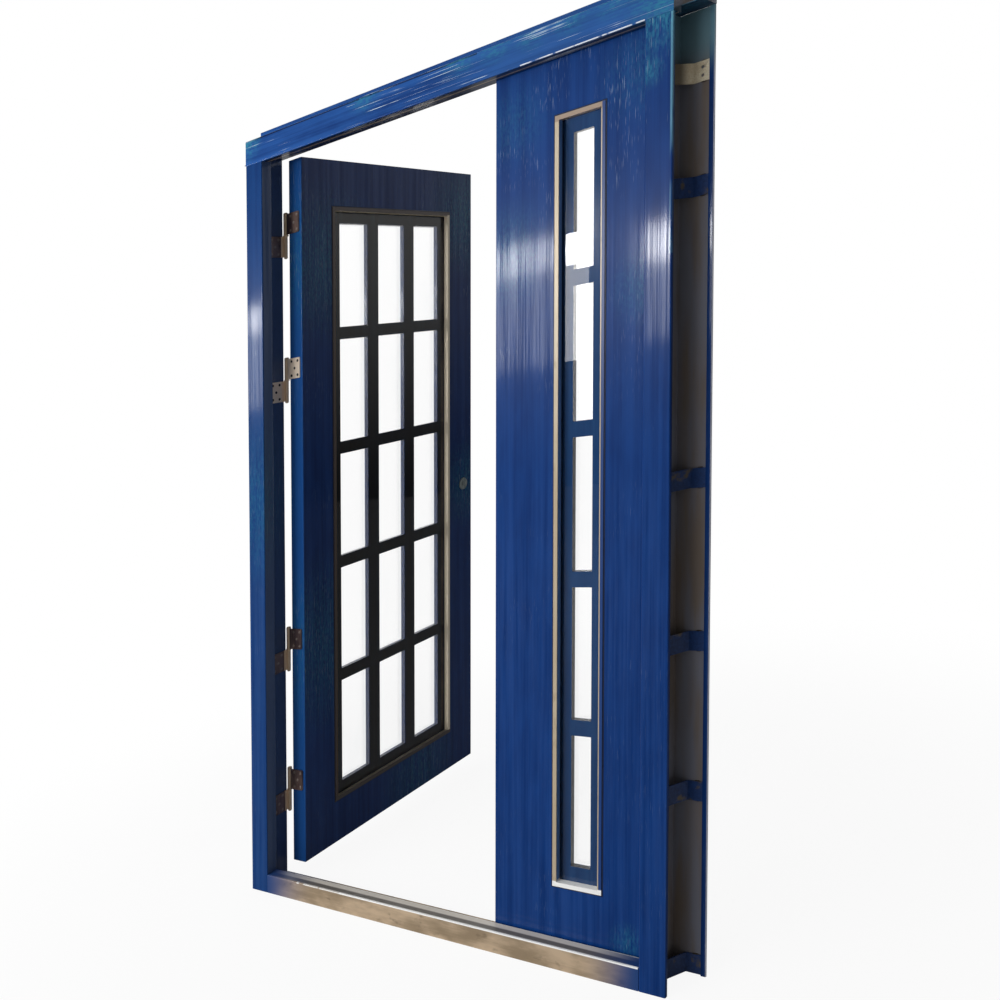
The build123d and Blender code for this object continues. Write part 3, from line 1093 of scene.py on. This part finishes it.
    def bare_metals(self) -> Dict[str, BareSteel]:
        """Describe the steel of the sill, beads, hinges, lock, screws, welds and top straps.

        Returns:
            The metals by piece.
        """
        spray = srgb(24, 62, 120)
        sill_face, sill_edge = (-0.06, -0.046), (0.0476, 0.06)
        sill_zones = (
            Zone(srgb(236, 232, 224), 0.001, y=(-0.0455, -0.018), z=(0.0488, 0.06), share=0.8),
            Zone(srgb(48, 42, 38), 0.005, y=(-0.043, -0.034), z=(0.0495, 0.06), share=0.8),
            Zone(spray, 0.15, x=(0.575, 0.7)),
            Zone(spray, 0.2, x=(-0.7, -0.585)),
            # Painted highlights: white lines along the sill's front and rear top edges.
            Zone(self.white, 0.0008, (-0.46, -0.3), sill_face, sill_edge, share=0.7, broken=True),
            Zone(self.white, 0.0008, (-0.3, 0.575), sill_face, sill_edge),
            Zone(self.white, 0.0006, (-0.5, 0.57), (-0.0178, -0.01), sill_edge, share=0.8),
        )
        cream, tan, brown = srgb(250, 242, 224), srgb(220, 202, 172), srgb(140, 118, 92)
        brown_foot = Zone(srgb(86, 74, 60), 0.014, x=(0.59, 0.622), share=0.85)
        dark_rail = Zone(srgb(74, 66, 62), 0.002, z=(0.1, 0.18), share=0.7)
        # Painted shade: the main bead's front flange darkened to the tone of the shaded leaf.
        shaded_bead_face = Zone(srgb(80, 68, 64), 0.0003, x=(-0.5336, -0.52))
        # Painted highlight: the main bead's right sleeve in pale cream.
        sleeve_highlight = Zone(
            srgb(255, 240, 214), 0.0005, x=(-0.56, -0.52), y=(0.6905, 0.71), z=(0.175, 1.9), share=0.95
        )
        # Blue overspray on the narrow bead's left sleeve, painted lighter to offset the shade it lies in.
        lit_blue_overspray = Zone(srgb(96, 136, 196), 0.0005, x=(0.3, 0.3475), y=(-0.0095, 0.02))
        blue_side = Zone(srgb(20, 60, 122), 0.0005, x=(0.4568, 0.5))
        # Painted highlight: the narrow bead's upward-facing bottom sleeve in white.
        foot_highlight = Zone(self.white, 0.003, z=(0.1, 0.1765))
        pale_hinge = Zone(srgb(255, 236, 214), 0.02, z=(1.36, 1.5), share=0.9)
        dark_screws = Zone(srgb(40, 34, 32), 0.01, z=(1.36, 1.5))
        # Painted highlights: the hinge barrels in pale copper-cream.
        barrel_highlights = tuple(
            Zone(srgb(255, 226, 190), 0.0005, x=side, y=(0.04, 0.064), share=0.9)
            for side in ((-0.606, -0.59), (0.59, 0.606))
        )
        tan_face = Zone(srgb(176, 158, 130), 0.0004, y=(-0.02, -0.0112), share=0.8)
        # Painted shade: the narrow bead's downward-facing top sleeve in a darker tan.
        top_shade = Zone(srgb(150, 128, 112), 0.003, z=(1.8965, 2.0), share=0.85)
        return {
            "sill": BareSteel(
                "bare_sill_steel", srgb(228, 202, 170), srgb(176, 154, 126), srgb(104, 88, 72), Run.CROSSWISE,
                sill_zones, metal=0.45, grain=0.12, blots=0.55,
            ),
            "bare_strap": BareSteel(
                "bare_strap_steel", srgb(255, 246, 220), srgb(230, 212, 178), srgb(70, 62, 54), Run.INWARD,
                (brown_foot,), metal=0.1,
            ),
            "main_bead": BareSteel(
                "main_bead_steel", cream, tan, brown, Run.UPRIGHT,
                (shaded_bead_face, dark_rail, sleeve_highlight), metal=0.1, rough=0.24,
            ),
            "narrow_bead": BareSteel(
                "narrow_bead_steel", cream, tan, brown, Run.UPRIGHT,
                (tan_face, top_shade, blue_side, lit_blue_overspray, foot_highlight), metal=0.4, rough=0.24,
            ),
            "hinge": BareSteel(
                "warm_hinge_steel", srgb(158, 132, 122), srgb(92, 76, 80), srgb(52, 44, 52), Run.UPRIGHT,
                (pale_hinge,) + barrel_highlights, metal=0.6, grain=0.25,
            ),
            "lock": BareSteel(
                "lock_metal", srgb(156, 166, 164), srgb(84, 96, 100), srgb(40, 46, 52), Run.UPRIGHT, metal=0.5
            ),
            "screw": BareSteel(
                "screw_steel", srgb(186, 170, 160), srgb(120, 108, 102), srgb(60, 54, 54), Run.UPRIGHT,
                (dark_screws,), metal=0.4,
            ),
            "weld": BareSteel(
                "weld_steel", srgb(120, 112, 100), srgb(70, 62, 56), srgb(36, 32, 32), Run.UPRIGHT, rough=0.5
            ),
        }

    def build(self) -> Dict[str, bpy.types.Material]:
        """Make every finish.

        Returns:
            The materials by the name of what they go on.
        """
        finishes = {
            **self.frame_lacquers(),
            **self.leaf_lacquers(),
            **self.bare_metals(),
            "strap": StrapCoat("strap_paint", srgb(40, 78, 142), srgb(120, 110, 96), 0.37),
            "sealant": StrapCoat("dark_sealant", srgb(14, 18, 30), srgb(20, 24, 34), 0.3),
            "glass": ClearGlass("clear_glass"),
        }
        return {name: finish.build() for name, finish in finishes.items()}


def main() -> None:
    """Load the frame, dress it and set up the picture."""
    logging.basicConfig(level=logging.INFO, format="%(name)s: %(message)s")
    for name in [made.name for made in bpy.data.objects]:
        bpy.data.objects.remove(bpy.data.objects[name])
    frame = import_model()
    nodes = frame["nodes"]
    finishes = Palette().build()
    hinges = HingeRow()
    surround = DoorFrame(nodes, finishes, hinges)
    surround.dress()
    surround.build_screws()
    surround.build_welds()
    leaves = (
        Leaf("main", nodes, finishes, hinges, opened=True),
        Leaf("narrow", nodes, finishes, hinges, opened=False),
    )
    for leaf in leaves:
        leaf.dress()
        leaf.build_screws()
        leaf.build_seams()
        LOG.info("leaf %s dressed", leaf.name)
    Studio().build()
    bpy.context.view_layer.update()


if __name__ == "__main__":
    main()
